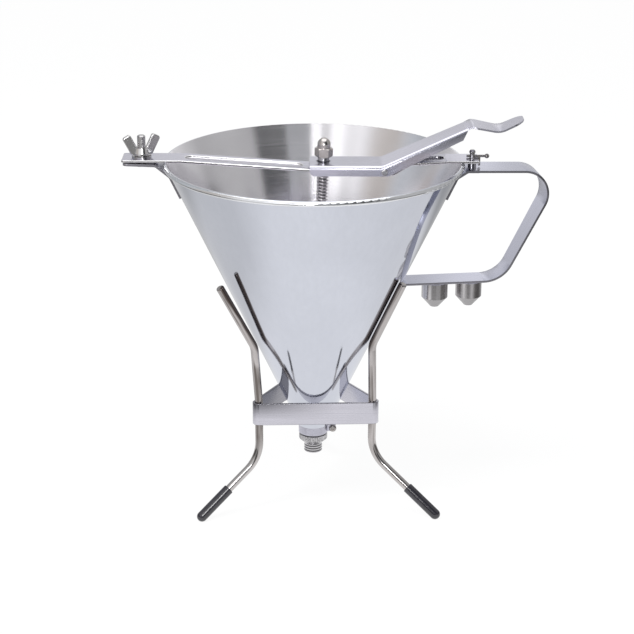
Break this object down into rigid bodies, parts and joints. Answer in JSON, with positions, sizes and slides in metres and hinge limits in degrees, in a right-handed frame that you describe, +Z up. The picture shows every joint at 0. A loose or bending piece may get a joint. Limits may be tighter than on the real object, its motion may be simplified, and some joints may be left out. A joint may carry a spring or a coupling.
{
  "type": "sauce dispenser",
  "caption": "Conical stainless sauce funnel with a lever-lifted valve rod and return spring, a strip handle with spare nozzles, and a wire stand with rubber feet.",
  "frame": {"origin": "on the funnel's axis, in the plane that the feet stand on", "axes": "+Z up along the funnel's axis, +X towards the strip handle, +Y towards the back leg"},
  "size_m": [0.2693, 0.19, 0.2574],
  "materials": {
    "polished_steel": "mirror polished outside, brushed inside",
    "satin_steel": "satin",
    "machined_steel": "turned",
    "dark_steel": "dull",
    "wire_steel": "drawn wire",
    "black_rubber": "smooth"
  },
  "bodies": {
    "stand": {"stand_band": "satin_steel", "stand_leg_left": "wire_steel", "stand_leg_right": "wire_steel", "stand_leg_back": "wire_steel", "foot_sleeve_left": "black_rubber", "foot_sleeve_right": "black_rubber", "foot_sleeve_back": "black_rubber"},
    "funnel": {"funnel_cone": "polished_steel", "outlet_neck": "satin_steel", "neck_screw": "dark_steel", "outlet_gasket": "black_rubber", "left_lug_bracket": "satin_steel", "lug_bolt": "machined_steel", "lug_washer": "machined_steel", "handle": "satin_steel", "nozzle_stud_inner": "machined_steel", "nozzle_stud_outer": "machined_steel", "latch_stud": "machined_steel", "bridge_bar": "satin_steel", "rod_bush": "machined_steel", "return_spring": "wire_steel"},
    "nipple": {"outlet_nipple": "machined_steel"},
    "wing": {"wing_nut": "dark_steel"},
    "spare_nozzle_inner": {"nozzle_inner": "machined_steel"},
    "spare_nozzle_outer": {"nozzle_outer": "machined_steel"},
    "pull_pin": {"lock_pin": "dark_steel"},
    "thumb_lever": {"lever": "satin_steel", "lever_pivot_pin": "machined_steel"},
    "valve": {"piston_rod": "machined_steel", "rod_washer": "machined_steel", "acorn_nut": "polished_steel", "spring_collar": "machined_steel", "collar_pin": "machined_steel", "valve_plug": "machined_steel", "valve_seal": "black_rubber"}
  },
  "joints": [
    {"name": "funnel_lift", "type": "slide", "parent": "stand", "child": "funnel", "axis": [0, 0, 1], "range_m": [0, 0.08]},
    {"name": "lever_press", "type": "hinge", "parent": "funnel", "child": "thumb_lever", "pos_m": [0.0442, 0, 0.22525], "axis": [0, 1, 0], "range_deg": [0, 9], "stiffness_Nm_per_rad": 8, "springref_deg": -3.44},
    {"name": "valve_slide", "type": "slide", "parent": "funnel", "child": "valve", "axis": [0.0349, 0, 0.9994], "range_m": [0, 0.007], "deforming": ["return_spring"]},
    {"name": "wing_turn", "type": "hinge", "parent": "funnel", "child": "wing", "pos_m": [-0.1083, 0, 0.235], "axis": [0, 0, 1], "continuous": true},
    {"name": "nipple_turn", "type": "hinge", "parent": "funnel", "child": "nipple", "pos_m": [0, 0, 0.04], "axis": [0, 0, 1], "continuous": true},
    {"name": "inner_nozzle_turn", "type": "hinge", "parent": "funnel", "child": "spare_nozzle_inner", "pos_m": [0.07809, -0.00284, 0.145], "axis": [0, 0, 1], "continuous": true},
    {"name": "outer_nozzle_turn", "type": "hinge", "parent": "funnel", "child": "spare_nozzle_outer", "pos_m": [0.1001, 0.00005, 0.145], "axis": [0, 0, 1], "continuous": true},
    {"name": "lock_pin_pull", "type": "slide", "parent": "funnel", "child": "pull_pin", "axis": [1, 0, 0], "range_m": [0, 0.01]}
  ],
  "couplings": [
    {"joint": "valve_slide", "follows": "lever_press", "m_per_rad": 0.0422}
  ]
}
